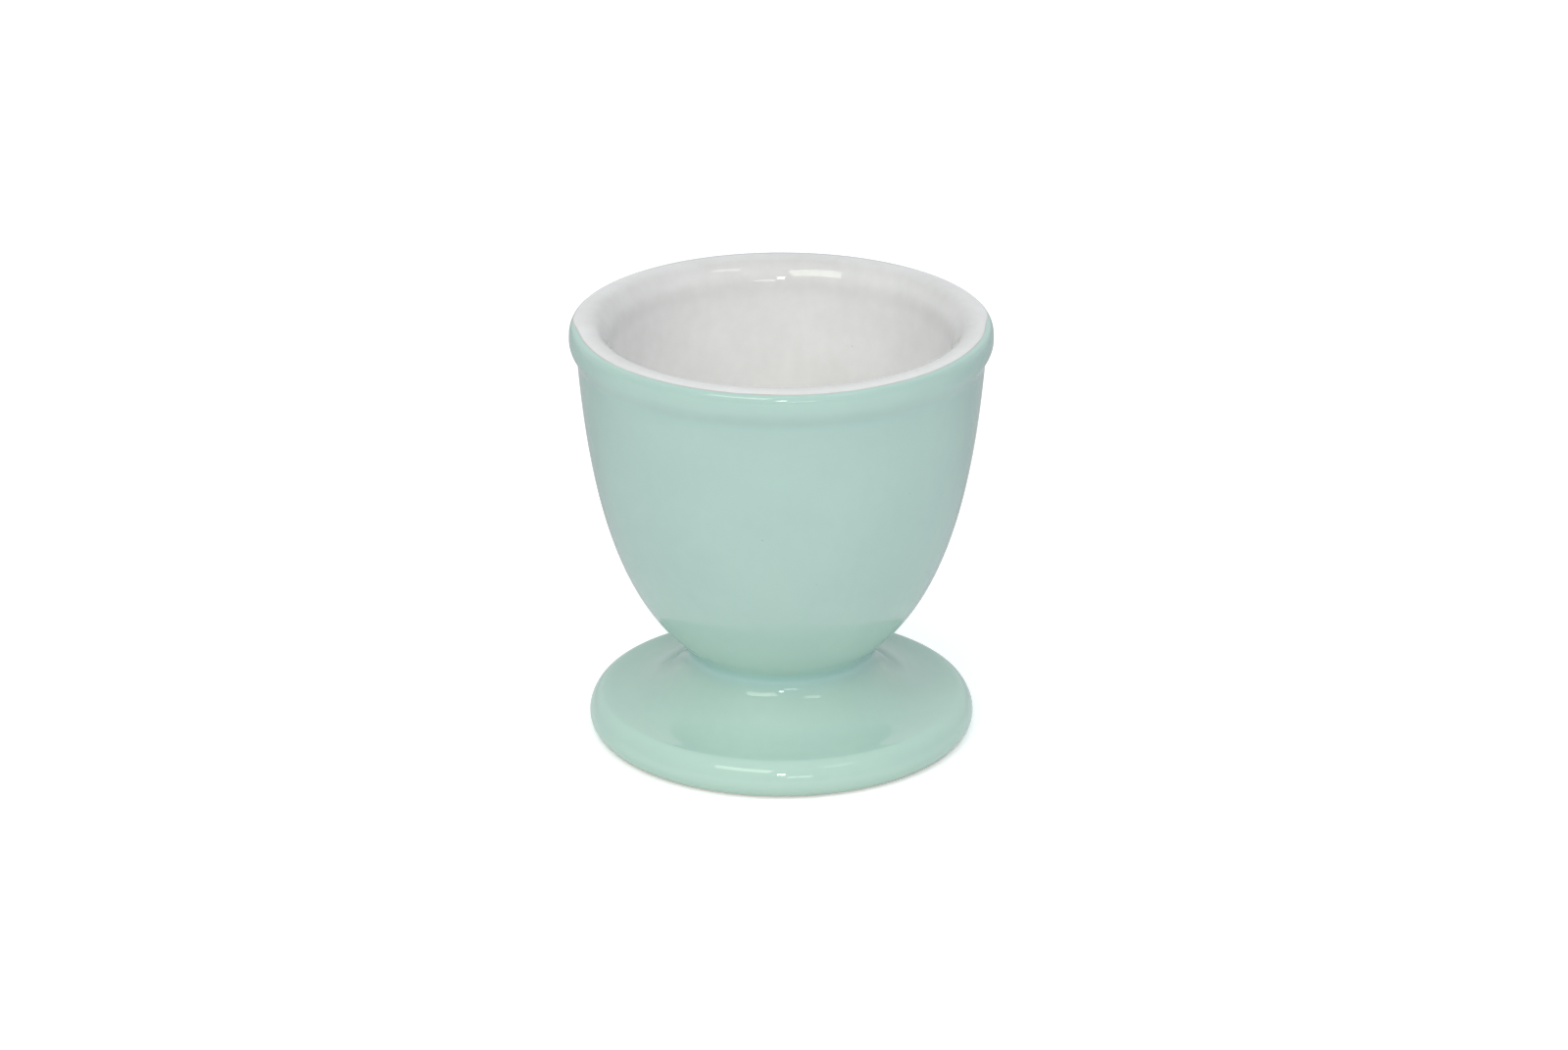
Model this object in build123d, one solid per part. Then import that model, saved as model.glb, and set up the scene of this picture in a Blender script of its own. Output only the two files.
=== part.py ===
from build123d import *
from math import cos, radians, sin, tan
import os

# Egg cup of glazed china, in millimetres. It stands on Z = 0 with its axis on Z.
# All outside sizes are measured over the glaze.

# Rim and lip
HEIGHT = 52.7                # table to the top of the lip
RIM_DIAMETER = 51.0          # across the bead, the widest line of the cup
LIP_CREST_INSET = 2.2        # highest line of the lip, in from the rim's outside
COLOUR_LINE_INSET = 0.84     # where white glaze meets mint, in from the rim's outside
COLOUR_LINE_DROP = 0.21      # and down from the top of the lip
COLOUR_LINE_SLOPE = 14.0     # degrees that the lip falls there
BEAD_WIDEST_DROP = 2.15      # top of the lip down to the widest line of the bead
BEAD_HEIGHT = 5.05           # top of the lip down to where the bead has run into the wall
BEAD_PROUD = 0.98            # how far the bead stands out from the wall

# Bowl
WALL_DRAFT = 4.5             # degrees that the wall leans in below the bead
WALL_AT_MOUTH = 4.05         # wall thickness at the mouth, glaze included
MOUTH_DROP = 4.85            # top of the lip down to where its inner rounding ends
MOUTH_DRAFT = 5.0            # degrees that the inside wall leans in there
BASE_THICKNESS = 3.05        # middle of the bowl's floor, glaze included
BASE_SLOPE = 38.5            # degrees from the level at which the bowl meets the waist

# Waist and foot
WAIST_DIAMETER = 24.1        # lowest line of the bowl
WAIST_HEIGHT = 11.65         # table to that line
NECK_INSET = 0.65            # narrowest line of the neck, in from the waist
COLLAR_HEIGHT = 0.9          # joining slip, from the waist down to the narrowest line
FLARE_SPREAD = 1.74          # halfway line of the flare, out from the neck
FLARE_HEIGHT = 7.47          # table to that line
FLARE_SLOPE = 46.0           # degrees that the foot falls there
FOOT_DIAMETER = 47.1
EDGE_HEIGHT = 4.68           # table to the top of the foot's rolled edge
EDGE_CREST_INSET = 1.84      # top of the rolled edge, in from the foot's outside
EDGE_WIDEST_HEIGHT = 2.03    # table to the widest line of the foot
DISH_INSET = 2.6             # lowest line of the dished top, in from the foot's outside
DISH_DEPTH = 0.12            # that line below the top of the rolled edge

# Underside
RING_INSET = 1.9             # bare standing ring, in from the foot's outside
RING_WIDTH = 1.5
BARE_HEIGHT = 0.38           # glaze is wiped back to this height above the table
BARE_INSET = 0.81            # and stops this far in from the foot's outside
BARE_SLOPE = 45.0            # degrees that the foot's edge turns under there
HOLLOW_DRAFT = 42.0          # degrees that the hollow's wall leans in
NECK_FLOOR = 5.45            # clay between the hollow and the joint, glaze included

GLAZE = 0.25                 # thickness of every glaze coat

# Pulls of the round stretches, as shares of the straight line between their ends
ROUND = 0.39                 # a quarter round
CORNER_PULL = 0.25           # bead, out from the colour line
FACE_PULL = 0.81             # bead, up from its widest line
WALL_PULL = 0.405            # bowl, below the bead
BASE_PULL = 0.28             # bowl, above the waist
INSIDE_PULL = 0.50           # inside wall, below the mouth
FLOOR_PULL = 0.46            # inside wall, towards the floor
CREST_PULL = 0.40            # lip, in from its crest
MOUTH_PULL = 0.355           # lip, up from the mouth
NECK_PULL = 0.42             # foot, down from the neck and from the flare's halfway line
FLARE_PULL = 0.36            # foot, up from the flare's halfway line
DISH_PULL = 0.445            # foot, towards the dished line
EDGE_TOP_PULL = 0.29         # foot's rolled edge, out from its crest
EDGE_FACE_PULL = 0.35        # foot's rolled edge, up from its widest line
HOLLOW_PULL = 0.33           # roof of the hollow

RIM_RADIUS = RIM_DIAMETER / 2
WALL_RADIUS = RIM_RADIUS - BEAD_PROUD
WAIST_RADIUS = WAIST_DIAMETER / 2
NECK_RADIUS = WAIST_RADIUS - NECK_INSET
FOOT_RADIUS = FOOT_DIAMETER / 2
RING_RADIUS = FOOT_RADIUS - RING_INSET
NECK_HEIGHT = WAIST_HEIGHT - COLLAR_HEIGHT


# Directions in the section plane: 0 is away from the axis, 90 is up
OUT, UP, IN, DOWN = 0, 90, 180, 270


def heading(angle):
    return Vector(cos(radians(angle)), 0, sin(radians(angle)))


def out_of_clay(direction):
    return Vector(-direction.Z, 0, direction.X)


class Station:
    # One point of the section, which runs from the cup's floor over the lip to the foot
    # with the clay on its right, and the directions in which it arrives and leaves.

    def __init__(self, radius, height, arrive, leave=None):
        self.point = Vector(radius, 0, height)
        self.arrive = heading(arrive)
        self.leave = self.arrive if leave is None else heading(leave)

    def under(self, depth):
        before = out_of_clay(self.arrive)
        after = out_of_clay(self.leave)
        return self.point - (before + after) * (depth / (1 + before.dot(after)))


def stretch(first, last, depth, lead=ROUND, tail=ROUND):
    start = first.under(depth)
    end = last.under(depth)
    reach = (end - start).length
    return Bezier(
        start,
        start + first.leave * (lead * reach),
        end - last.arrive * (tail * reach),
        end,
    )


# Inside of the bowl and the lip
floor_middle = Station(0, WAIST_HEIGHT + BASE_THICKNESS, OUT)
mouth = Station(WALL_RADIUS - WALL_AT_MOUTH, HEIGHT - MOUTH_DROP, UP - MOUTH_DRAFT)
lip_crest = Station(RIM_RADIUS - LIP_CREST_INSET, HEIGHT, OUT)
colour_line = Station(
    RIM_RADIUS - COLOUR_LINE_INSET,
    HEIGHT - COLOUR_LINE_DROP,
    OUT - COLOUR_LINE_SLOPE,
)

# Outside, from the bead to the waist
bead_widest = Station(RIM_RADIUS, HEIGHT - BEAD_WIDEST_DROP, DOWN)
wall_top = Station(WALL_RADIUS, HEIGHT - BEAD_HEIGHT, DOWN - WALL_DRAFT)
waist = Station(WAIST_RADIUS, WAIST_HEIGHT, IN + BASE_SLOPE)

# Neck, flare, dished top and rolled edge of the foot
neck = Station(NECK_RADIUS, NECK_HEIGHT, DOWN)
flare = Station(NECK_RADIUS + FLARE_SPREAD, FLARE_HEIGHT, OUT - FLARE_SLOPE)
dish = Station(FOOT_RADIUS - DISH_INSET, EDGE_HEIGHT - DISH_DEPTH, OUT)
edge_crest = Station(FOOT_RADIUS - EDGE_CREST_INSET, EDGE_HEIGHT, OUT)
edge_widest = Station(FOOT_RADIUS, EDGE_WIDEST_HEIGHT, DOWN)
wiped_edge = Station(FOOT_RADIUS - BARE_INSET, BARE_HEIGHT, IN + BARE_SLOPE)

# Standing ring and the hollow under the foot
ring_outer = Station(RING_RADIUS, 0, IN)
ring_inner = Station(RING_RADIUS - RING_WIDTH, 0, IN, UP + HOLLOW_DRAFT)
hollow_edge = Station(
    RING_RADIUS - RING_WIDTH - BARE_HEIGHT * tan(radians(HOLLOW_DRAFT)),
    BARE_HEIGHT,
    UP + HOLLOW_DRAFT,
)
hollow_middle = Station(0, NECK_HEIGHT - NECK_FLOOR, IN)


def lining_section(depth):
    return [
        stretch(floor_middle, mouth, depth, FLOOR_PULL, INSIDE_PULL),
        stretch(mouth, lip_crest, depth, MOUTH_PULL, CREST_PULL),
        stretch(lip_crest, colour_line, depth),
    ]


def bowl_section(depth):
    return [
        stretch(colour_line, bead_widest, depth, CORNER_PULL, FACE_PULL),
        stretch(bead_widest, wall_top, depth),
        stretch(wall_top, waist, depth, WALL_PULL, BASE_PULL),
    ]


def collar_section(depth):
    return [stretch(waist, neck, depth)]


def foot_section(depth):
    return [
        stretch(neck, flare, depth, NECK_PULL, FLARE_PULL),
        stretch(flare, dish, depth, NECK_PULL, DISH_PULL),
        stretch(dish, edge_crest, depth),
        stretch(edge_crest, edge_widest, depth, EDGE_TOP_PULL, EDGE_FACE_PULL),
        stretch(edge_widest, wiped_edge, depth),
    ]


def hollow_section(depth):
    return [stretch(hollow_edge, hollow_middle, depth, HOLLOW_PULL, HOLLOW_PULL)]


def on_axis(point):
    return Vector(0, 0, point.Z)


def turned(edges):
    return revolve(make_face(edges), Axis.Z)


def coat(section, first, last):
    return turned(
        section(0)
        + section(GLAZE)
        + [
            Line(first.point, first.under(GLAZE)),
            Line(last.point, last.under(GLAZE)),
        ]
    )


def bowl():
    seat = waist.under(GLAZE)
    return turned(
        lining_section(GLAZE)
        + bowl_section(GLAZE)
        + [
            Line(seat, on_axis(seat)),
            Line(on_axis(seat), floor_middle.under(GLAZE)),
        ]
    )


def joining_slip():
    top = waist.under(GLAZE)
    bottom = neck.under(GLAZE)
    return turned(
        collar_section(GLAZE)
        + [
            Line(bottom, on_axis(bottom)),
            Line(on_axis(bottom), on_axis(top)),
            Line(on_axis(top), top),
        ]
    )


def foot():
    seat = neck.under(GLAZE)
    wiped = wiped_edge.under(GLAZE)
    inner_wiped = hollow_edge.under(GLAZE)
    return turned(
        foot_section(GLAZE)
        + [
            Line(wiped, ring_outer.point),
            Line(ring_outer.point, ring_inner.point),
            Line(ring_inner.point, inner_wiped),
        ]
        + hollow_section(GLAZE)
        + [
            Line(hollow_middle.under(GLAZE), on_axis(seat)),
            Line(on_axis(seat), seat),
        ]
    )


def lining_glaze():
    return coat(lining_section, floor_middle, colour_line)


def outside_section(depth):
    return bowl_section(depth) + collar_section(depth) + foot_section(depth)


def mint_glaze():
    return coat(outside_section, colour_line, wiped_edge)


def base_glaze():
    return coat(hollow_section, hollow_edge, hollow_middle)


os.makedirs("parts", exist_ok=True)
for piece in (bowl, joining_slip, foot, lining_glaze, mint_glaze, base_glaze):
    export_step(piece(), f"parts/{piece.__name__}.step")
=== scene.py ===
from bisect import bisect
from math import cos, exp, radians, sin, tan, tau

import bmesh
import bpy
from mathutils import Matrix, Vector
from mathutils.geometry import interpolate_bezier


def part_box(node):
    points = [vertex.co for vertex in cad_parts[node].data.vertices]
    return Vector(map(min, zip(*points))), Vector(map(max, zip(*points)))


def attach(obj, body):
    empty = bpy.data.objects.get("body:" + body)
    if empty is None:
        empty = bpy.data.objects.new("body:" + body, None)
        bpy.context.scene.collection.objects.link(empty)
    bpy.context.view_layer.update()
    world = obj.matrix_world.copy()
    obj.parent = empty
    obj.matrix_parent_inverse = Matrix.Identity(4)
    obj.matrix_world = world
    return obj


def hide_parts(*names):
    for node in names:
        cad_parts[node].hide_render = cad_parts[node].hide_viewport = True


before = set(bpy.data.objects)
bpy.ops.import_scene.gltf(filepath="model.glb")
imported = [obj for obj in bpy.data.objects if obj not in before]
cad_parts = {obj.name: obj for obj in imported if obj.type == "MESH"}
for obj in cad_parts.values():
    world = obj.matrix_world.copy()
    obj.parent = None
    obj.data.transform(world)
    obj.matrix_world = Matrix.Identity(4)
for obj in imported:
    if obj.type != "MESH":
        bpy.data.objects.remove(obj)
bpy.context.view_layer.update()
print("frame loaded:", ", ".join(sorted(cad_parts)))

scene = bpy.context.scene
scene.view_settings.view_transform = "Standard"

mm = 0.001
glazeDepth = 0.25                    # every coat is this thick, mm
samePoint = 0.0001                   # points closer than this are one, mm
roundPull = 0.39                     # handles of this share of the chord give an even round


# The cup is drawn as half a section, in mm, and turned. Each knot is a point of it with the way
# the line runs there: 0 degrees is away from the axis, 90 is up. The line runs from the floor of
# the bowl over the lip and down to the foot, with the clay on its right.

def knot(r, z, degrees):
    way = radians(degrees)
    return {"at": Vector((r, 0, z)), "way": Vector((cos(way), 0, sin(way)))}


def sunk(k, depth):                  # the knot moved square to the surface, into the clay
    return k["at"] - Vector((-k["way"].z, 0, k["way"].x)) * depth


def sweep(first, last, depth, pulls=(roundPull, roundPull), points=24):
    a, b = sunk(first, depth), sunk(last, depth)
    reach = (b - a).length
    return interpolate_bezier(
        a, a + first["way"] * pulls[0] * reach, b - last["way"] * pulls[1] * reach, b, points)


def joined(*runs):                   # end to end, without the doubled points
    points = []
    for run in runs:
        points += run[1:] if points and (points[-1] - run[0]).length < samePoint else run
    return points


def lengths(line):                   # mm walked at each point
    walked = [0.0]
    for a, b in zip(line, line[1:]):
        walked.append(walked[-1] + (b - a).length)
    return walked


def pointAlong(line, walked, s):
    i = min(max(bisect(walked, s), 1), len(line) - 1)
    return line[i - 1].lerp(line[i], (s - walked[i - 1]) / (walked[i] - walked[i - 1]))


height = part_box("lining_glaze")[1].z / mm
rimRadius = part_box("mint_glaze")[1].x / mm
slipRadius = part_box("joining_slip")[1].x / mm
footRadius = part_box("foot")[1].x / mm + glazeDepth

# insets run in from the outside, drops down from the top and heights up from the table, in mm;
# slopes and drafts are degrees, and a fill is how far glaze reaches before and after a hollow
lip = {"shoulderInset": 4.3, "shoulderDrop": 1.55, "shoulderSlope": 60.0, "shoulderPulls": (0.40, 0.40),
       "crestInset": 2.2, "innerPulls": (0.45, 0.40),
       "lineInset": 0.84, "lineDrop": 0.21, "lineSlope": 14.0, "cornerPulls": (0.42, 0.60),
       "faceInset": 0.28, "faceDrop": 0.52, "faceSlope": 60.0, "beadPulls": (0.28, 0.57),
       "beadDrop": 2.15, "beadHeight": 5.05, "beadProud": 0.98}
bowl = {"draft": 4.5, "outPulls": (0.405, 0.28), "baseSlope": 38.5, "baseThick": 3.05,
        "mouthWall": 4.05, "mouthDrop": 4.85, "mouthDraft": 5.0, "inPulls": (0.46, 0.50)}
foot = {"waistHeight": 11.65, "waistFill": (1.3, 2.0), "neckInset": 0.65, "collar": 0.9,
        "neckPulls": (0.42, 0.36), "flareSpread": 1.74, "flareHeight": 7.47, "flareSlope": 46.0,
        "flarePulls": (0.42, 0.445),
        "dishInset": 2.6, "dishDepth": 0.12, "dishFill": (2.4, 0.7),
        "edgeHeight": 4.68, "crestInset": 1.84, "widestHeight": 2.03, "rollPulls": (0.29, 0.35)}
underside = {"bareHeight": 0.38, "bareInset": 0.81, "bareSlope": 45.0, "ringInset": 1.9, "ringWidth": 1.5,
             "draft": 42.0, "neckFloor": 5.45, "roofPulls": (0.33, 0.33)}

wallRadius = rimRadius - lip["beadProud"]
waistRadius = slipRadius + glazeDepth * sin(radians(bowl["baseSlope"]))      # out to the glaze
neckRadius = waistRadius - foot["neckInset"]
neckHeight = foot["waistHeight"] - foot["collar"]
ringRadius = footRadius - underside["ringInset"]
ringInnerRadius = ringRadius - underside["ringWidth"]
hollowRadius = ringInnerRadius - underside["bareHeight"] * tan(radians(underside["draft"]))

floorMiddle = knot(0, foot["waistHeight"] + bowl["baseThick"], 0)
mouth = knot(wallRadius - bowl["mouthWall"], height - bowl["mouthDrop"], 90 - bowl["mouthDraft"])
lipShoulder = knot(rimRadius - lip["shoulderInset"], height - lip["shoulderDrop"], lip["shoulderSlope"])
lipCrest = knot(rimRadius - lip["crestInset"], height, 0)
colourLine = knot(rimRadius - lip["lineInset"], height - lip["lineDrop"], -lip["lineSlope"])
beadFace = knot(rimRadius - lip["faceInset"], height - lip["faceDrop"], -lip["faceSlope"])
beadWidest = knot(rimRadius, height - lip["beadDrop"], 270)
wallTop = knot(wallRadius, height - lip["beadHeight"], 270 - bowl["draft"])
waist = knot(waistRadius, foot["waistHeight"], 180 + bowl["baseSlope"])
neck = knot(neckRadius, neckHeight, 270)
flare = knot(neckRadius + foot["flareSpread"], foot["flareHeight"], -foot["flareSlope"])
dish = knot(footRadius - foot["dishInset"], foot["edgeHeight"] - foot["dishDepth"], 0)
edgeCrest = knot(footRadius - foot["crestInset"], foot["edgeHeight"], 0)
edgeWidest = knot(footRadius, foot["widestHeight"], 270)
wipedEdge = knot(footRadius - underside["bareInset"], underside["bareHeight"], 180 + underside["bareSlope"])
ringOuter = knot(ringRadius, 0, 180)
ringInner = knot(ringInnerRadius, 0, 180)
hollowEdge = knot(hollowRadius, underside["bareHeight"], 90 + underside["draft"])
hollowMiddle = knot(0, neckHeight - underside["neckFloor"], 180)


# The two glazes meet on a line that was banded by hand: it wanders a little, and round the back
# the white comes further over the lip. Both coats round over into a shallow groove there.
colourSeam = {"wander": 0.05, "waves": ((0.6, 5, 2.1), (0.4, 11, 4.0)),      # share, waves a turn, start
              "backDrop": 0.65, "backBlend": 0.22, "backSkew": 0.05, "sideLift": 0.22,
              "groove": 0.03, "grooveWidth": 0.06}


def seamShift(turn):                 # mm along the lip, outwards; 90 degrees is the back
    wander = sum(share * sin(waves * turn + start) for share, waves, start in colourSeam["waves"])
    back = (sin(turn) - colourSeam["backSkew"] * cos(turn)) / colourSeam["backBlend"] + 0.5
    back = min(max(back, 0), 1)
    backShare = back * back * (3 - 2 * back)             # none at the front, all at the back, smooth between
    return (colourSeam["wander"] * wander + colourSeam["backDrop"] * backShare
            - colourSeam["sideLift"] * cos(turn) ** 2)


def lipTop(depth, turn, coat, points):       # one coat's part of the lip between its crest and the bead
    crest = sweep(lipCrest, colourLine, depth)
    line = joined(crest,
                  sweep(colourLine, beadFace, depth, lip["cornerPulls"], points=36),
                  sweep(beadFace, beadWidest, depth, lip["beadPulls"], points=48))
    walked = lengths(line)
    seam = walked[len(crest) - 1] + seamShift(turn)
    steps = [(i / (points - 1)) ** 2 for i in range(points)]             # closest at the seam
    if coat == "white":
        stops = [seam * (1 - step) for step in reversed(steps)]
    else:
        stops = [seam + (walked[-1] - seam) * step for step in steps]
    run = [pointAlong(line, walked, s) for s in stops]
    if depth == 0:
        for p, s in zip(run, stops):
            p.z -= colourSeam["groove"] * exp(-((s - seam) / colourSeam["grooveWidth"]) ** 2)
    return run


def liningLine(depth, turn):
    return joined(
        sweep(floorMiddle, mouth, depth, bowl["inPulls"], points=48),
        sweep(mouth, lipShoulder, depth, lip["shoulderPulls"], points=18),
        sweep(lipShoulder, lipCrest, depth, lip["innerPulls"], points=18),
        lipTop(depth, turn, "white", points=14))


def bowlLine(depth, turn):
    return joined(
        lipTop(depth, turn, "mint", points=26),
        sweep(beadWidest, wallTop, depth),
        sweep(wallTop, waist, depth, bowl["outPulls"], points=56))


def collarLine(depth):
    return sweep(waist, neck, depth, points=16)


def footLine(depth):
    return joined(
        sweep(neck, flare, depth, foot["neckPulls"], points=26),
        sweep(flare, dish, depth, foot["flarePulls"], points=30),
        sweep(dish, edgeCrest, depth, points=14),
        sweep(edgeCrest, edgeWidest, depth, foot["rollPulls"], points=26),
        sweep(edgeWidest, wipedEdge, depth, points=14))


def hollowLine(depth):
    return sweep(hollowEdge, hollowMiddle, depth, underside["roofPulls"], points=36)


filling = {"slopeOver": 0.05, "clear": 0.02, "points": 28}       # mm that give the slope, mm kept clear


def eased(line, hollow, before, after):      # glaze runs into a hollow and rounds it out
    walked = lengths(line)
    at = walked[min(range(len(line)), key=lambda i: (line[i] - hollow).length)]
    start, end = at - before, at + after
    a, b = pointAlong(line, walked, start), pointAlong(line, walked, end)
    wayIn = (a - pointAlong(line, walked, start - filling["slopeOver"])).normalized()
    wayOut = (pointAlong(line, walked, end + filling["slopeOver"]) - b).normalized()
    reach = roundPull * (b - a).length
    curve = interpolate_bezier(a, a + wayIn * reach, b - wayOut * reach, b, filling["points"])
    return ([p for p, s in zip(line, walked) if s < start - filling["clear"]] + curve
            + [p for p, s in zip(line, walked) if s > end + filling["clear"]])


wipedEnd = {"bulge": 0.8, "steps": 6}        # bulge of 1 is a half circle


def roundedEnd(outer, inner):        # the wiped end of a coat is a small round, not a square step
    tip = (outer - inner) / 2
    middle = (outer + inner) / 2
    side = Vector((-tip.z, 0, tip.x)) * wipedEnd["bulge"]
    angles = [radians(180 * step / wipedEnd["steps"]) for step in range(1, wipedEnd["steps"])]
    return [middle + tip * cos(a) - side * sin(a) for a in angles]


def outsideLine(depth, turn):
    line = joined(bowlLine(depth, turn), collarLine(depth), footLine(depth))
    if depth == 0:
        line = eased(line, waist["at"], *foot["waistFill"])
        line = eased(line, dish["at"], *foot["dishFill"])
    return line


wheel = {"steps": 144, "poolReach": 1.3}     # steps of 2.5 degrees, reach in mm


def hollowness(line):                # radians that the line turns towards the air, within poolReach mm
    walked = lengths(line)
    turns = []
    for p, s in zip(line, walked):
        before = p - pointAlong(line, walked, max(s - wheel["poolReach"], 0))
        after = pointAlong(line, walked, min(s + wheel["poolReach"], walked[-1])) - p
        turns.append(before.xz.angle_signed(after.xz, 0) * -1)
    return turns


def turned(name, lineAt, poolsAndShade=()):
    bm = bmesh.new()
    # how hollow the section is at each point; it steers the glaze tone, painted light and shade included
    poolingAndShade = bm.verts.layers.float.new("poolingAndShade")
    fromSeam = bm.verts.layers.float.new("fromSeam")
    rings = []
    for step in range(wheel["steps"]):
        turn = tau * step / wheel["steps"]
        line = lineAt(turn)
        seam = lipTop(0, turn, "mint", points=2)[0]
        ring = []
        for i, p in enumerate(line):
            vert = bm.verts.new(Vector((p.x * cos(turn), p.x * sin(turn), p.z)) * mm)
            vert[poolingAndShade] = poolsAndShade[i] if i < len(poolsAndShade) else 0        # the outer side comes first
            vert[fromSeam] = (p - seam).length
            ring.append(vert)
        rings.append(ring)
    for a, b in zip(rings, rings[1:] + rings[:1]):
        for i in range(len(a)):
            j = (i + 1) % len(a)
            if line[i].x > samePoint or line[j].x > samePoint:       # a line on the axis turns no face
                bm.faces.new((a[i], a[j], b[j], b[i]))
    bmesh.ops.remove_doubles(bm, verts=bm.verts, dist=samePoint * mm)    # the rings meet on the axis
    bmesh.ops.recalc_face_normals(bm, faces=bm.faces)
    mesh = bpy.data.meshes.new(name)
    bm.to_mesh(mesh)
    bm.free()
    mesh.shade_smooth()
    piece = bpy.data.objects.new(name, mesh)
    scene.collection.objects.link(piece)
    print("turned", name, len(mesh.polygons), "faces")
    return piece


# Closed sections of the six pieces at one turn of the wheel
def liningLoop(turn):
    return liningLine(0, turn) + liningLine(glazeDepth, turn)[::-1]


def mintLoop(turn):
    outer, inner = outsideLine(0, turn), outsideLine(glazeDepth, turn)
    return outer + roundedEnd(outer[-1], inner[-1]) + inner[::-1]


def hollowLoop(turn):
    outer, inner = hollowLine(0), hollowLine(glazeDepth)
    return outer + inner[::-1] + roundedEnd(inner[0], outer[0])


def bowlLoop(turn):
    seat = sunk(waist, glazeDepth)
    return joined(liningLine(glazeDepth, turn), bowlLine(glazeDepth, turn),
                  [seat, Vector((0, 0, seat.z))])


def slipLoop(turn):
    band = collarLine(glazeDepth)
    return [Vector((0, 0, band[0].z))] + band + [Vector((0, 0, band[-1].z))]


def footLoop(turn):
    seat = sunk(neck, glazeDepth)
    ring = [ringOuter["at"].lerp(ringInner["at"], step / 4) for step in range(5)]
    return joined([Vector((0, 0, seat.z)), seat], footLine(glazeDepth), ring, hollowLine(glazeDepth))


liningCoat = turned("liningCoat", liningLoop, hollowness(liningLine(0, 0)))
mintCoat = turned("mintCoat", mintLoop, hollowness(outsideLine(0, 0)))
hollowCoat = turned("hollowCoat", hollowLoop, hollowness(hollowLine(0)))
bowlBody = turned("bowlBody", bowlLoop)
slipBand = turned("slipBand", slipLoop)
footBody = turned("footBody", footLoop)


def linear(hexColour):               # sRGB hex to Blender's linear colour
    parts = [int(hexColour[i:i + 2], 16) / 255 for i in (1, 3, 5)]
    return [p / 12.92 if p <= 0.04045 else ((p + 0.055) / 1.055) ** 2.4 for p in parts] + [1]


# sockets go by name, or by number where names repeat: a colour Mix has its share in 0, colours in 6 and 7
def addNode(tree, kind, links=None, **settings):
    node = tree.nodes.new(kind)
    for key, value in settings.items():
        setattr(node, key, value)
    for socket, value in (links or {}).items():
        if isinstance(value, bpy.types.NodeSocket):
            tree.links.new(value, node.inputs[socket])
        else:
            node.inputs[socket].default_value = value
    return node


def newMaterial(name):
    material = bpy.data.materials.new(name)
    material.use_nodes = True
    material.node_tree.nodes.clear()
    return material, material.node_tree


# Gloss glaze over white earthenware: a glassy skin a quarter of a millimetre thick. Its tone follows
# how the section turns: partly glaze drawn back from edges and run into hollows, partly painted light
# and painted shade. It is clouded by the dip, with a few iron specks, and mirrors the lamps with a
# faint orange-peel ripple.
glazeSkin = {"cloudSize": 11.0, "mottleSize": 1.4, "swellSize": 7.0, "peelSize": 2.2,        # across, mm
             "swellHeight": 0.02, "peelHeight": 0.003, "glassIndex": 1.52, "gatherRange": (0.1, 0.9),
             "rough": 0.035, "roughVaries": 0.25, "nestedBlur": 0.4,
             "dulledBy": 0.21, "dullRise": 0.6, "dullFall": 2.5,
             "edgeColour": "#BFA99C", "edgeStart": 0.02, "breakSize": 3.0, "breakShare": (0.35, 0.9),
             "speckColour": "#8C7A68", "speckSpacing": 2.2, "speckRadius": (0.06, 0.12),
             "speckShare": 0.14, "speckStrength": 0.45}
noiseSpread = {"From Min": 0.3, "From Max": 0.7}         # nearly all of a noise lies between these


def glazeTone(tree, place, level, mottle, finish):
    poolAndShade = addNode(tree, "ShaderNodeAttribute", attribute_name="poolingAndShade").outputs["Fac"]
    # dried upside down, it has drained towards the rim
    even = addNode(tree, "ShaderNodeMapRange", {
        "Value": level, "From Min": finish["drained"][0] * mm, "From Max": finish["drained"][1] * mm,
        "To Min": finish["even"][0], "To Max": finish["even"][1]}, interpolation_type="SMOOTHSTEP")
    # the tone from the turn of the section is partly painted: lighter on ridges and darker in hollows on the
    # mint, darker grey on the lit lip and brighter in the shaded inside on the white
    run = addNode(tree, "ShaderNodeMath", {0: poolAndShade, 1: finish["run"], 2: even.outputs[0]},
                  operation="MULTIPLY_ADD")
    clouds = addNode(tree, "ShaderNodeTexNoise", {
        "Vector": place, "Scale": 1 / (glazeSkin["cloudSize"] * mm), "Detail": 3.0})
    drift = addNode(tree, "ShaderNodeMapRange", {
        "Value": clouds.outputs["Fac"], **noiseSpread,
        "To Min": -finish["cloud"], "To Max": finish["cloud"]})
    dapple = addNode(tree, "ShaderNodeMapRange", {
        "Value": mottle, **noiseSpread, "To Min": -finish["mottle"], "To Max": finish["mottle"]})
    depth = addNode(tree, "ShaderNodeMath", {0: run.outputs[0], 1: drift.outputs[0]}, operation="ADD")
    depth = addNode(tree, "ShaderNodeMath", {0: depth.outputs[0], 1: dapple.outputs[0]},
                    operation="ADD", use_clamp=True)
    tone = addNode(tree, "ShaderNodeMix", {
        0: depth.outputs[0], 6: linear(finish["thinWithPaintedLightShade"]), 7: linear(finish["deepWithPaintedLightShade"])}, data_type="RGBA")

    # in a sharp hollow the glaze takes on a bluer tone: partly glaze lying thick, partly painted bluish shade
    # under the bowl beside the neck
    gatheredWithShade = addNode(tree, "ShaderNodeMapRange", {
        "Value": poolAndShade, "From Min": glazeSkin["gatherRange"][0], "From Max": glazeSkin["gatherRange"][1],
        "To Max": finish["gather"]}, interpolation_type="SMOOTHSTEP")
    tone = addNode(tree, "ShaderNodeMix", {
        0: gatheredWithShade.outputs[0], 6: tone.outputs[2], 7: linear(finish["pooledWithPaintedShade"])}, data_type="RGBA")
    return tone.outputs[2]


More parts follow.
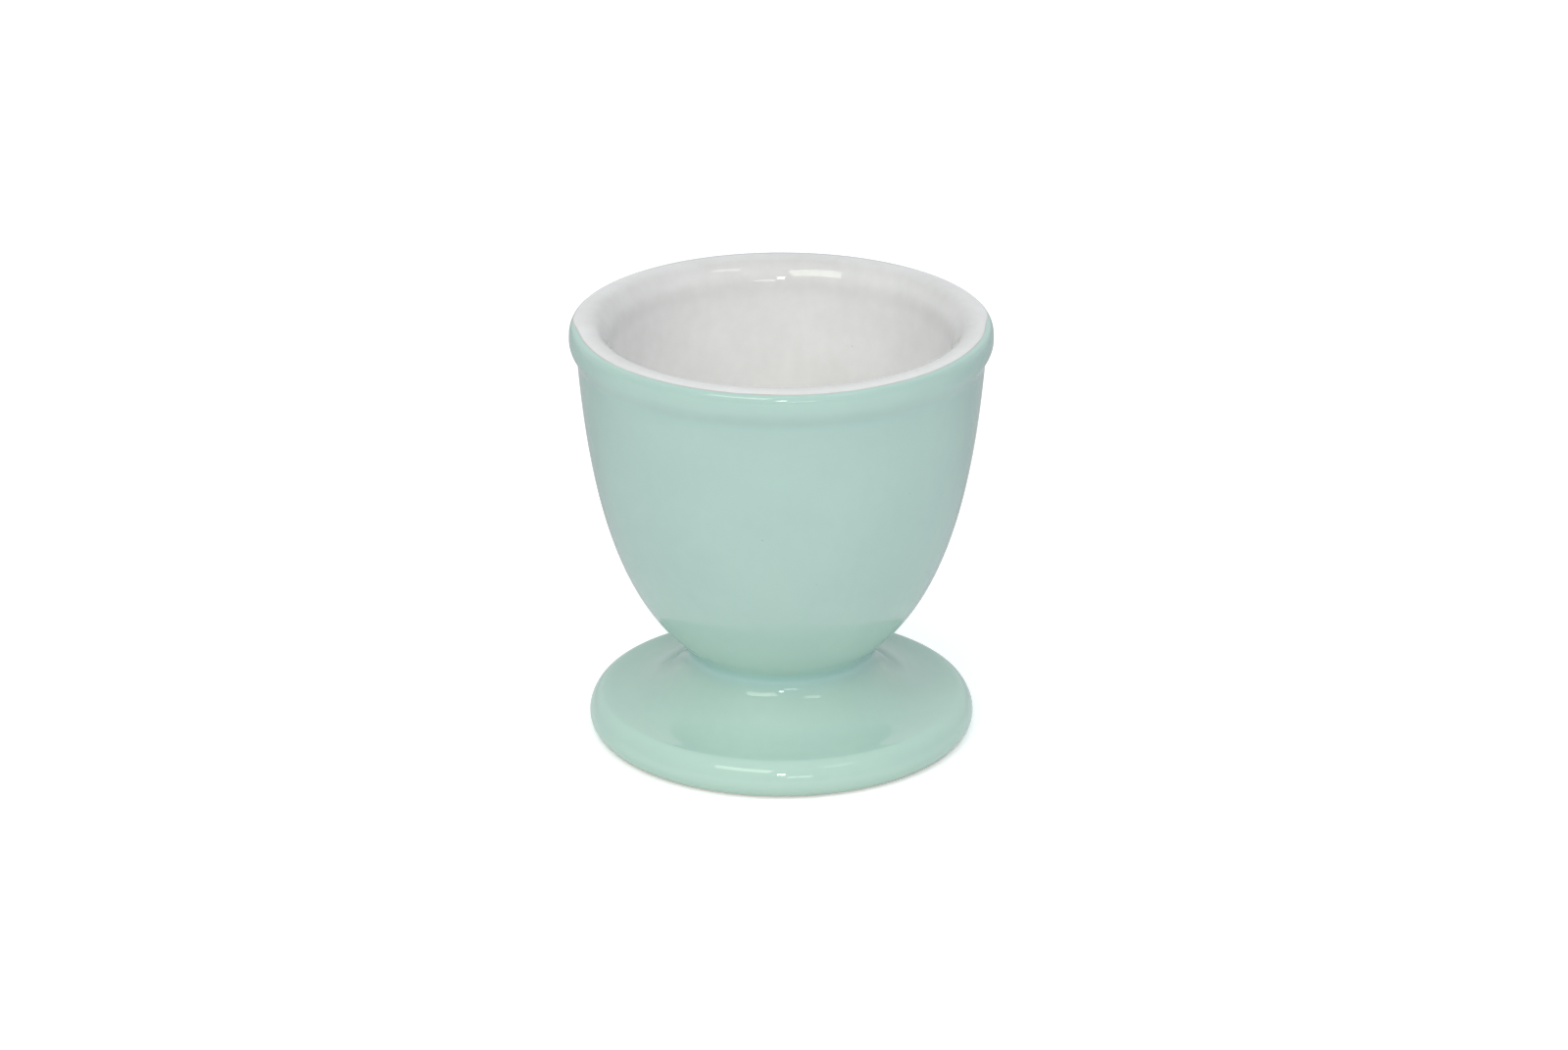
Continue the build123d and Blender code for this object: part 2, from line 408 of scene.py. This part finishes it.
def glazeMarks(tree, place, tone, edge):
    # a tenth of a millimetre of bare brownish edge where the two glazes stop short of each other
    seam = addNode(tree, "ShaderNodeAttribute", attribute_name="fromSeam")
    breaks = addNode(tree, "ShaderNodeTexNoise", {
        "Vector": place, "Scale": 1 / (glazeSkin["breakSize"] * mm), "Detail": 1.0})
    broken = addNode(tree, "ShaderNodeMapRange", {
        "Value": breaks.outputs["Fac"], "From Min": 0.35, "From Max": 0.65,
        "To Min": glazeSkin["breakShare"][0], "To Max": glazeSkin["breakShare"][1]})
    hairline = addNode(tree, "ShaderNodeMapRange", {
        "Value": seam.outputs["Fac"], "From Min": glazeSkin["edgeStart"], "From Max": edge,
        "To Min": 1.0, "To Max": 0.0})
    hairline = addNode(tree, "ShaderNodeMath", {0: hairline.outputs[0], 1: broken.outputs[0]},
                       operation="MULTIPLY")
    tone = addNode(tree, "ShaderNodeMix", {
        0: hairline.outputs[0], 6: tone, 7: linear(glazeSkin["edgeColour"])}, data_type="RGBA")

    # iron specks a fifth of a millimetre across, in one cell in seven of the scatter
    spacing = glazeSkin["speckSpacing"]
    core, rim = glazeSkin["speckRadius"]
    cells = addNode(tree, "ShaderNodeTexVoronoi", {"Vector": place, "Scale": 1 / (spacing * mm)})
    dot = addNode(tree, "ShaderNodeMapRange", {
        "Value": cells.outputs["Distance"], "From Min": core / spacing, "From Max": rim / spacing,
        "To Min": glazeSkin["speckStrength"], "To Max": 0.0})
    pick = addNode(tree, "ShaderNodeSeparateColor", {"Color": cells.outputs["Color"]})
    kept = addNode(tree, "ShaderNodeMath", {0: pick.outputs[0], 1: 1 - glazeSkin["speckShare"]},
                   operation="GREATER_THAN")
    speck = addNode(tree, "ShaderNodeMath", {0: dot.outputs[0], 1: kept.outputs[0]}, operation="MULTIPLY")
    tone = addNode(tree, "ShaderNodeMix", {
        0: speck.outputs[0], 6: tone.outputs[2], 7: linear(glazeSkin["speckColour"])}, data_type="RGBA")
    return tone.outputs[2]


def glazeRipple(tree, place):
    normal = {}
    for size, rise in (("swellSize", "swellHeight"), ("peelSize", "peelHeight")):
        ripple = addNode(tree, "ShaderNodeTexNoise", {
            "Vector": place, "Scale": 1 / (glazeSkin[size] * mm), "Detail": 1.0})
        bump = addNode(tree, "ShaderNodeBump", {
            "Height": ripple.outputs["Fac"], "Distance": glazeSkin[rise] * mm, **normal})
        normal = {"Normal": bump.outputs["Normal"]}
    return bump.outputs["Normal"]


def glazePolish(tree, level, mottle, dulledZone):
    polish = addNode(tree, "ShaderNodeMapRange", {
        "Value": mottle, **noiseSpread,
        "To Min": glazeSkin["rough"] * (1 - glazeSkin["roughVaries"]),
        "To Max": glazeSkin["rough"] * (1 + glazeSkin["roughVaries"])})
    # use has dulled the gloss between two heights: egg and spoon inside, fingers on top of the foot
    low, high = dulledZone
    rise = addNode(tree, "ShaderNodeMapRange", {
        "Value": level, "From Min": low * mm, "From Max": (low + glazeSkin["dullRise"]) * mm},
        interpolation_type="SMOOTHSTEP")
    fall = addNode(tree, "ShaderNodeMapRange", {
        "Value": level, "From Min": (high - glazeSkin["dullFall"]) * mm, "From Max": high * mm,
        "To Min": glazeSkin["dulledBy"], "To Max": 0.0}, interpolation_type="SMOOTHSTEP")
    dulled = addNode(tree, "ShaderNodeMath", {0: rise.outputs[0], 1: fall.outputs[0], 2: polish.outputs[0]},
                     operation="MULTIPLY_ADD")
    # reflections within reflections are blurred, which keeps the hollows from ending in black streaks
    ray = addNode(tree, "ShaderNodeLightPath").outputs
    nested = addNode(tree, "ShaderNodeMath", {0: ray["Glossy Depth"], 1: 0.5}, operation="GREATER_THAN")
    polish = addNode(tree, "ShaderNodeMath", {
        0: nested.outputs[0], 1: glazeSkin["nestedBlur"], 2: dulled.outputs[0]}, operation="MULTIPLY_ADD")
    return polish.outputs[0]


def gloss(name, finish):
    material, tree = newMaterial(name)
    place = addNode(tree, "ShaderNodeTexCoord").outputs["Object"]
    level = addNode(tree, "ShaderNodeSeparateXYZ", {"Vector": place}).outputs["Z"]
    mottle = addNode(tree, "ShaderNodeTexNoise", {
        "Vector": place, "Scale": 1 / (glazeSkin["mottleSize"] * mm), "Detail": 2.0}).outputs["Fac"]
    tone = glazeTone(tree, place, level, mottle, finish)
    surface = addNode(tree, "ShaderNodeBsdfPrincipled", {
        "Base Color": glazeMarks(tree, place, tone, finish["edge"]),
        "Roughness": glazePolish(tree, level, mottle, finish["dulled"]),
        "IOR": glazeSkin["glassIndex"], "Normal": glazeRipple(tree, place)})
    addNode(tree, "ShaderNodeOutputMaterial", {"Surface": surface.outputs["BSDF"]})
    return material


# drained and dulled are heights and edge is a width, in mm; the white has drained evenly
# mint: the paler ridge tone is partly painted light, the darker hollow tone partly painted shade
mintFinish = {"thinWithPaintedLightShade": "#B9D5C8", "deepWithPaintedLightShade": "#B0CAC2", "even": (0.1, 0.9), "drained": (10, 26), "run": 0.2,
              "pooledWithPaintedShade": "#AAD4D2", "gather": 0.6, "cloud": 0.16, "mottle": 0.06, "edge": 0.10,
              "dulled": (4.6, 8.4)}
# white: the grey ridge tone is painted shade on the lit lip, the bright hollow tone painted light in the
# shaded inside
whiteFinish = {"thinWithPaintedLightShade": "#B4B0AA", "deepWithPaintedLightShade": "#F3F1EF", "even": (0.85, 0.85), "drained": (14, 48), "run": 0.55,
               "pooledWithPaintedShade": "#F3F1EF", "gather": 0.0, "cloud": 0.07, "mottle": 0.03, "edge": 0.08,
               "dulled": (14.0, 24.0)}
mintGlaze = gloss("Mint green glaze, dipped and gloss fired", mintFinish)
whiteGlaze = gloss("White tin glaze, poured and gloss fired", whiteFinish)

# White earthenware, biscuit fired and wiped clean of glaze: chalky, with a fine sandy grain, and
# greyer in its lowest quarter millimetre, next to the table. The grain is drawn coarser than real, to show.
clayFinish = {"pale": "#F2EBE1", "sandy": "#E4DACB", "grainSize": 0.35, "blotchSize": 5.0, "gritHeight": 0.03,
              "greyNearTable": "#D2C8BA", "greyNearTableHeight": 0.25, "greyNearTableShare": 0.75, "rough": 0.85, "index": 1.5}


def bareClay(name):
    material, tree = newMaterial(name)
    place = addNode(tree, "ShaderNodeTexCoord").outputs["Object"]
    grain = addNode(tree, "ShaderNodeTexNoise", {
        "Vector": place, "Scale": 1 / (clayFinish["grainSize"] * mm), "Detail": 3.0})
    blotch = addNode(tree, "ShaderNodeTexNoise", {
        "Vector": place, "Scale": 1 / (clayFinish["blotchSize"] * mm), "Detail": 2.0})
    sand = addNode(tree, "ShaderNodeMath", {0: grain.outputs["Fac"], 1: blotch.outputs["Fac"]},
                   operation="MULTIPLY")
    tone = addNode(tree, "ShaderNodeMix", {
        0: sand.outputs[0], 6: linear(clayFinish["pale"]), 7: linear(clayFinish["sandy"])}, data_type="RGBA")
    level = addNode(tree, "ShaderNodeSeparateXYZ", {"Vector": place}).outputs["Z"]
    # darker towards the bottom edge, where the foot meets the table
    nearTable = addNode(tree, "ShaderNodeMapRange", {
        "Value": level, "From Min": 0.0, "From Max": clayFinish["greyNearTableHeight"] * mm,
        "To Min": clayFinish["greyNearTableShare"], "To Max": 0.0})
    nearTable = addNode(tree, "ShaderNodeMath", {0: nearTable.outputs[0], 1: blotch.outputs["Fac"]}, operation="MULTIPLY")
    tone = addNode(tree, "ShaderNodeMix", {
        0: nearTable.outputs[0], 6: tone.outputs[2], 7: linear(clayFinish["greyNearTable"])}, data_type="RGBA")
    grit = addNode(tree, "ShaderNodeBump", {
        "Height": grain.outputs["Fac"], "Distance": clayFinish["gritHeight"] * mm})
    surface = addNode(tree, "ShaderNodeBsdfPrincipled", {
        "Base Color": tone.outputs[2], "Roughness": clayFinish["rough"], "IOR": clayFinish["index"],
        "Normal": grit.outputs["Normal"]})
    addNode(tree, "ShaderNodeOutputMaterial", {"Surface": surface.outputs["BSDF"]})
    return material


biscuitClay = bareClay("White earthenware, biscuit fired")

for piece, node, slotName, material in (
        (bowlBody, "bowl", "biscuit_china", biscuitClay),
        (slipBand, "joining_slip", "biscuit_china", biscuitClay),
        (footBody, "foot", "biscuit_china", biscuitClay),
        (liningCoat, "lining_glaze", "white_glaze", whiteGlaze),
        (mintCoat, "mint_glaze", "mint_glaze", mintGlaze),
        (hollowCoat, "base_glaze", "white_glaze", whiteGlaze)):
    piece.data.materials.append(material)
    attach(piece, "root")
    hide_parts(node)
print("glazes and clay on the pieces")


# White paper under and behind the cup. Its colour is painted grey behind the cup, a painted shade for the
# light falling off there, which leaves grey edges mirrored in the glaze, while the camera sees the paper
# white all over.
paperSweep = {"reach": 3.0, "front": "#F8F8F6", "back": "#B4B4B3", "paintedFallOff": (0, 60), "frontLift": 0.33,
              "backLift": 0.75, "mirrored": 0.15}

bm = bmesh.new()
bmesh.ops.create_grid(bm, x_segments=1, y_segments=1, size=paperSweep["reach"])
paperMesh = bpy.data.meshes.new("paperSweep")
bm.to_mesh(paperMesh)
bm.free()
paperFloor = bpy.data.objects.new("paperSweep", paperMesh)
scene.collection.objects.link(paperFloor)


def towardsLamp(azimuth, elevation):  # degrees right of the camera and above the table
    a, e = radians(azimuth), radians(elevation)
    return Vector((sin(a) * cos(e), -cos(a) * cos(e), sin(e)))


def seenDirectly(tree, mirrored):    # 1 for what the camera or a glass shows, less in a reflection
    ray = addNode(tree, "ShaderNodeLightPath").outputs
    seen = addNode(tree, "ShaderNodeMath", {0: ray["Is Camera Ray"], 1: ray["Is Transmission Ray"]},
                   operation="MAXIMUM")
    seen = addNode(tree, "ShaderNodeMath", {0: ray["Is Glossy Ray"], 1: mirrored, 2: seen.outputs[0]},
                   operation="MULTIPLY_ADD")
    return seen.outputs[0]


def whitePaper(name):
    material, tree = newMaterial(name)
    place = addNode(tree, "ShaderNodeTexCoord").outputs["Object"]
    behind = addNode(tree, "ShaderNodeSeparateXYZ", {"Vector": place}).outputs["Y"]
    near, far = (y * mm for y in paperSweep["paintedFallOff"])
    paintedFallOff = {"Value": behind, "From Min": near, "From Max": far}
    # painted shade: the paper's colour greys from the front to the back
    grey = addNode(tree, "ShaderNodeMapRange", paintedFallOff)
    whiteness = addNode(tree, "ShaderNodeMapRange", {
        **paintedFallOff, "To Min": paperSweep["frontLift"], "To Max": paperSweep["backLift"]})
    tone = addNode(tree, "ShaderNodeMix", {
        0: grey.outputs[0], 6: linear(paperSweep["front"]), 7: linear(paperSweep["back"])}, data_type="RGBA")
    seen = seenDirectly(tree, paperSweep["mirrored"])
    lift = addNode(tree, "ShaderNodeMath", {0: seen, 1: whiteness.outputs[0]}, operation="MULTIPLY")
    lit = addNode(tree, "ShaderNodeBsdfDiffuse", {"Color": tone.outputs[2]})
    glow = addNode(tree, "ShaderNodeEmission", {"Strength": lift.outputs[0]})
    both = addNode(tree, "ShaderNodeAddShader", {0: lit.outputs[0], 1: glow.outputs[0]})
    addNode(tree, "ShaderNodeOutputMaterial", {"Surface": both.outputs[0]})
    return material


paperFloor.data.materials.append(whitePaper("Matt white paper"))
print("paper laid under the cup")

# The main light is bounced off a white ceiling above the camera. The camera and the glaze see the
# white backdrop behind the cup; beside and before it the room is greyer.
room = {"bounce": 1.45, "azimuth": -4, "elevation": 57, "focus": 6.0, "bounceColour": "#FFFCF7",
        "overhead": 0.73, "overheadColour": "#EAF4FF", "overheadFull": 0.6,
        "sides": 0.3, "backdrop": 1.0, "backdropBlend": (-0.1, 0.6)}
world = bpy.data.worlds.new("White room")
scene.world = world
world.use_nodes = True
tree = world.node_tree
tree.nodes.clear()
way = addNode(tree, "ShaderNodeTexCoord").outputs["Generated"]
towards = addNode(tree, "ShaderNodeSeparateXYZ", {"Vector": way})
ceiling = addNode(tree, "ShaderNodeVectorMath", {
    0: way, 1: towardsLamp(room["azimuth"], room["elevation"])}, operation="DOT_PRODUCT")
ceiling = addNode(tree, "ShaderNodeMath", {0: ceiling.outputs["Value"], 1: 0.0}, operation="MAXIMUM")
ceiling = addNode(tree, "ShaderNodeMath", {0: ceiling.outputs[0], 1: room["focus"]}, operation="POWER")
ceiling = addNode(tree, "ShaderNodeMath", {0: ceiling.outputs[0], 1: room["bounce"]}, operation="MULTIPLY")
overhead = addNode(tree, "ShaderNodeMapRange", {
    "Value": towards.outputs["Z"], "From Max": room["overheadFull"], "To Max": room["overhead"]})
lit = addNode(tree, "ShaderNodeBackground", {
    "Color": linear(room["bounceColour"]), "Strength": ceiling.outputs[0]})
sky = addNode(tree, "ShaderNodeBackground", {
    "Color": linear(room["overheadColour"]), "Strength": overhead.outputs[0]})
roomLight = addNode(tree, "ShaderNodeAddShader", {0: lit.outputs[0], 1: sky.outputs[0]})
whiteness = addNode(tree, "ShaderNodeMapRange", {
    "Value": towards.outputs["Y"], "From Min": room["backdropBlend"][0], "From Max": room["backdropBlend"][1],
    "To Min": room["sides"], "To Max": room["backdrop"]})
backdrop = addNode(tree, "ShaderNodeBackground", {"Strength": whiteness.outputs[0]})
sight = addNode(tree, "ShaderNodeMixShader", {
    0: seenDirectly(tree, 1.0), 1: roomLight.outputs[0], 2: backdrop.outputs[0]})
addNode(tree, "ShaderNodeOutputWorld", {"Surface": sight.outputs[0]})

# lamps at the sizes and distances of small studio ones, in metres and watts
lamps = {
    "flash": {"azimuth": 0, "elevation": 26.7, "distance": 0.72, "size": (0.06, 0.10), "watts": 0.22,
              "colour": "#FFFFFF"},
    "leftSoftbox": {"azimuth": -25.5, "elevation": 40, "distance": 1.2, "size": (0.62, 0.26), "watts": 1.85,
                    "colour": "#FAFFEC"},
    "rightSoftbox": {"azimuth": 43.5, "elevation": 48, "distance": 1.2, "size": (0.32, 0.12), "watts": 0.32,
                     "colour": "#FFFFFF"},
    "frontStrip": {"azimuth": 11, "elevation": 18, "distance": 1.2, "size": (0.30, 0.12), "watts": 0.38,
                   "colour": "#FFFFFF"},
}
aimPoint = Vector((0, 0, 26)) * mm   # about half the cup's height
for name, lamp in lamps.items():
    light = bpy.data.lights.new(name, "AREA")
    light.shape = "RECTANGLE"
    light.size, light.size_y = lamp["size"]
    light.energy = lamp["watts"]
    light.color = linear(lamp["colour"])[:3]
    holder = bpy.data.objects.new(name, light)
    away = towardsLamp(lamp["azimuth"], lamp["elevation"])
    holder.location = aimPoint + away * lamp["distance"]
    holder.rotation_mode = "QUATERNION"
    holder.rotation_quaternion = away.to_track_quat("Z", "Y")
    scene.collection.objects.link(holder)

# mm and degrees; the aim is the middle of the picture
view = {"side": 0.32, "aimHeight": 26.15, "elevation": 22.179, "distance": 700.0, "lens": 132.2, "sensor": 36}
e = radians(view["elevation"])
aim = Vector((view["side"], 0, view["aimHeight"])) * mm
back = Vector((0, -cos(e), sin(e)))
lens = bpy.data.cameras.new("camera")
lens.lens = view["lens"]
lens.sensor_width = view["sensor"]
camera = bpy.data.objects.new("camera", lens)
camera.location = aim + back * view["distance"] * mm
camera.rotation_mode = "QUATERNION"
camera.rotation_quaternion = back.to_track_quat("Z", "Y")
scene.collection.objects.link(camera)
scene.camera = camera
print("light and camera set")
